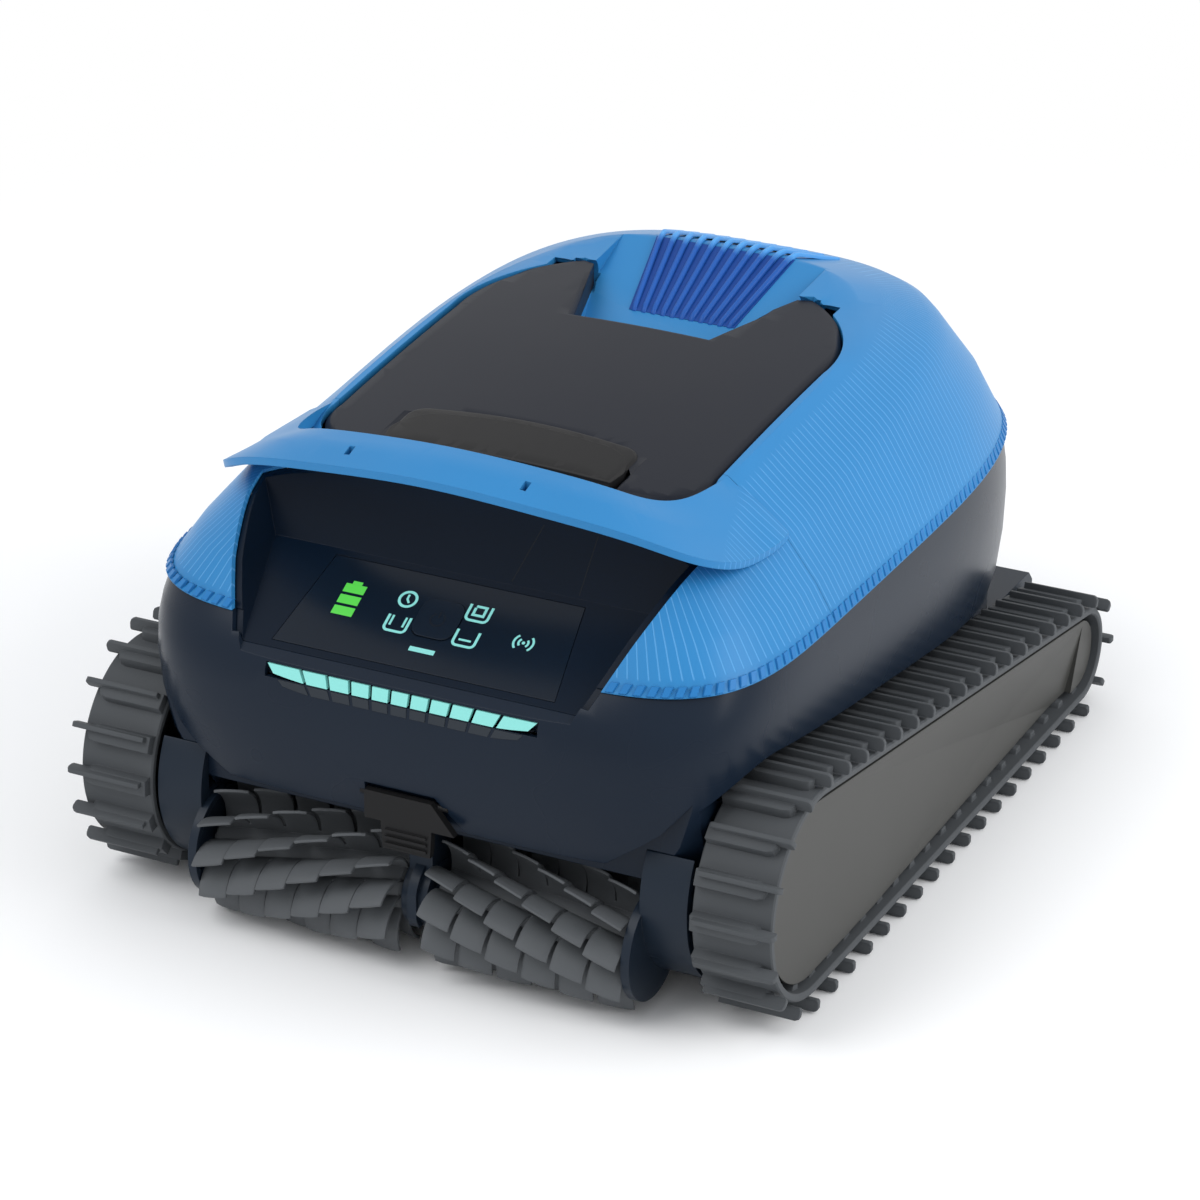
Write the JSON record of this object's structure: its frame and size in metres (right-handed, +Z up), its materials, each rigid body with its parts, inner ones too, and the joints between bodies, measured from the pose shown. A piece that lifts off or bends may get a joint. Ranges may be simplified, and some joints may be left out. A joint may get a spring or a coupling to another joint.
{
  "type": "pool cleaner",
  "caption": "Cordless tracked pool cleaner with a domed body, front carrying bar, hinged filter lid, roller brushes front and rear, and a top water outlet.",
  "frame": {"origin": "on the ground under the middle of the outline", "axes": "+X to the cleaner's left-hand track seen from the front (right in a front view), -Y to the front where the carrying bar is, +Z up"},
  "size_m": [0.376, 0.453, 0.2543],
  "materials": {
    "body_navy": "satin moulded plastic",
    "plate_black": "matt moulded plastic",
    "shell_blue": "satin moulded plastic",
    "vent_blue": "satin moulded plastic",
    "lid_grey": "fine matt moulded plastic",
    "grip_black": "matt moulded plastic",
    "housing_dark": "matt moulded plastic",
    "panel_black": "glossy plastic",
    "button_black": "glossy plastic",
    "light_cyan": "translucent light window",
    "cover_grey": "matt moulded plastic",
    "track_rubber": "matt rubber",
    "brush_rubber": "matt rubber",
    "frame_dark": "matt moulded plastic",
    "wheel_black": "matt moulded plastic",
    "steel": "turned steel",
    "basket_grey": "matt moulded plastic",
    "mesh_grey": "fine woven mesh",
    "flap_rubber": "matt rubber",
    "motor_black": "matt moulded plastic",
    "impeller_white": "matt moulded plastic",
    "duct_dark": "matt moulded plastic",
    "battery_sleeve": "shrink sleeve",
    "port_black": "matt moulded plastic",
    "cap_rubber": "matt rubber"
  },
  "bodies": {
    "body": {"lower_body": "body_navy", "bottom_plate": "plate_black", "top_shell": "shell_blue", "front_shell": "shell_blue", "vent_bars": "vent_blue", "control_housing": "housing_dark", "display_panel": "panel_black", "light_strip": "light_cyan", "side_cover_left": "cover_grey", "side_cover_right": "cover_grey", "track_belt_left": "track_rubber", "track_belt_right": "track_rubber", "track_frame_left": "frame_dark", "track_frame_right": "frame_dark", "front_gear_housing_left": "frame_dark", "front_gear_housing_right": "frame_dark", "rear_gear_housing_left": "frame_dark", "rear_gear_housing_right": "frame_dark", "front_centre_bearing": "frame_dark", "rear_centre_bearing": "frame_dark", "hinge_pins": "steel", "front_axle_left": "steel", "front_axle_right": "steel", "rear_axle_left": "steel", "rear_axle_right": "steel", "filter_basket": "basket_grey", "filter_mesh": "mesh_grey", "pump_motor": "motor_black", "drive_motor_left": "motor_black", "drive_motor_right": "motor_black", "electronics_box": "motor_black", "outlet_duct": "duct_dark", "battery_pack": "battery_sleeve", "charge_port": "port_black"},
    "lid": {"lid": "lid_grey", "lid_grip": "grip_black"},
    "power_button": {"power_button": "button_black"},
    "front_latch": {"front_latch": "grip_black"},
    "charge_cap": {"charge_cap": "cap_rubber"},
    "inlet_flap_left": {"inlet_flap_left": "flap_rubber"},
    "inlet_flap_right": {"inlet_flap_right": "flap_rubber"},
    "drive_wheel_left": {"drive_wheel_left": "wheel_black"},
    "drive_wheel_right": {"drive_wheel_right": "wheel_black"},
    "idler_wheel_left": {"idler_wheel_left": "wheel_black"},
    "idler_wheel_right": {"idler_wheel_right": "wheel_black"},
    "front_brush_left": {"front_brush_left": "brush_rubber"},
    "front_brush_right": {"front_brush_right": "brush_rubber"},
    "rear_brush_left": {"rear_brush_left": "brush_rubber"},
    "rear_brush_right": {"rear_brush_right": "brush_rubber"},
    "impeller": {"impeller": "impeller_white"}
  },
  "joints": [
    {"name": "lid_hinge", "type": "hinge", "parent": "body", "child": "lid", "pos_m": [0, 0.087, 0.2398], "axis": [-1, 0, 0], "range_deg": [0, 75]},
    {"name": "power_button_press", "type": "slide", "parent": "body", "child": "power_button", "axis": [0, 0.4778, -0.8785], "range_m": [0, 0.0012], "stiffness_N_per_m": 600, "springref_m": -0.001},
    {"name": "front_latch_tilt", "type": "hinge", "parent": "body", "child": "front_latch", "pos_m": [0, -0.2145, 0.092], "axis": [-1, 0, 0], "range_deg": [0, 35], "stiffness_Nm_per_rad": 0.05, "springref_deg": -5.73},
    {"name": "charge_cap_pull", "type": "slide", "parent": "body", "child": "charge_cap", "axis": [0, 1, 0], "range_m": [0, 0.015]},
    {"name": "inlet_flap_left_swing", "type": "hinge", "parent": "body", "child": "inlet_flap_left", "pos_m": [-0.05, -0.044, 0.0212], "axis": [-1, 0, 0], "range_deg": [0, 60]},
    {"name": "drive_wheel_left_spin", "type": "hinge", "parent": "body", "child": "drive_wheel_left", "pos_m": [-0.159, -0.157, 0.0605], "axis": [1, 0, 0], "continuous": true},
    {"name": "idler_wheel_left_spin", "type": "hinge", "parent": "body", "child": "idler_wheel_left", "pos_m": [-0.159, 0.185, 0.0345], "axis": [1, 0, 0], "continuous": true},
    {"name": "front_brush_left_spin", "type": "hinge", "parent": "body", "child": "front_brush_left", "pos_m": [-0.061, -0.1935, 0.0345], "axis": [1, 0, 0], "continuous": true},
    {"name": "rear_brush_left_spin", "type": "hinge", "parent": "body", "child": "rear_brush_left", "pos_m": [-0.061, 0.1935, 0.0345], "axis": [1, 0, 0], "continuous": true},
    {"name": "inlet_flap_right_swing", "type": "hinge", "parent": "body", "child": "inlet_flap_right", "pos_m": [0.05, -0.044, 0.0212], "axis": [-1, 0, 0], "range_deg": [0, 60]},
    {"name": "drive_wheel_right_spin", "type": "hinge", "parent": "body", "child": "drive_wheel_right", "pos_m": [0.159, -0.157, 0.0605], "axis": [1, 0, 0], "continuous": true},
    {"name": "idler_wheel_right_spin", "type": "hinge", "parent": "body", "child": "idler_wheel_right", "pos_m": [0.159, 0.185, 0.0345], "axis": [1, 0, 0], "continuous": true},
    {"name": "front_brush_right_spin", "type": "hinge", "parent": "body", "child": "front_brush_right", "pos_m": [0.061, -0.1935, 0.0345], "axis": [1, 0, 0], "continuous": true},
    {"name": "rear_brush_right_spin", "type": "hinge", "parent": "body", "child": "rear_brush_right", "pos_m": [0.061, 0.1935, 0.0345], "axis": [1, 0, 0], "continuous": true},
    {"name": "impeller_spin", "type": "hinge", "parent": "body", "child": "impeller", "pos_m": [0, 0.116, 0.165], "axis": [0, 0, 1], "continuous": true}
  ],
  "couplings": [
    {"joint": "idler_wheel_left_spin", "follows": "drive_wheel_left_spin", "ratio": 2.0833},
    {"joint": "front_brush_left_spin", "follows": "drive_wheel_left_spin", "ratio": 2.4},
    {"joint": "rear_brush_left_spin", "follows": "drive_wheel_left_spin", "ratio": 2.4},
    {"joint": "idler_wheel_right_spin", "follows": "drive_wheel_right_spin", "ratio": 2.0833},
    {"joint": "front_brush_right_spin", "follows": "drive_wheel_right_spin", "ratio": 2.4},
    {"joint": "rear_brush_right_spin", "follows": "drive_wheel_right_spin", "ratio": 2.4}
  ]
}
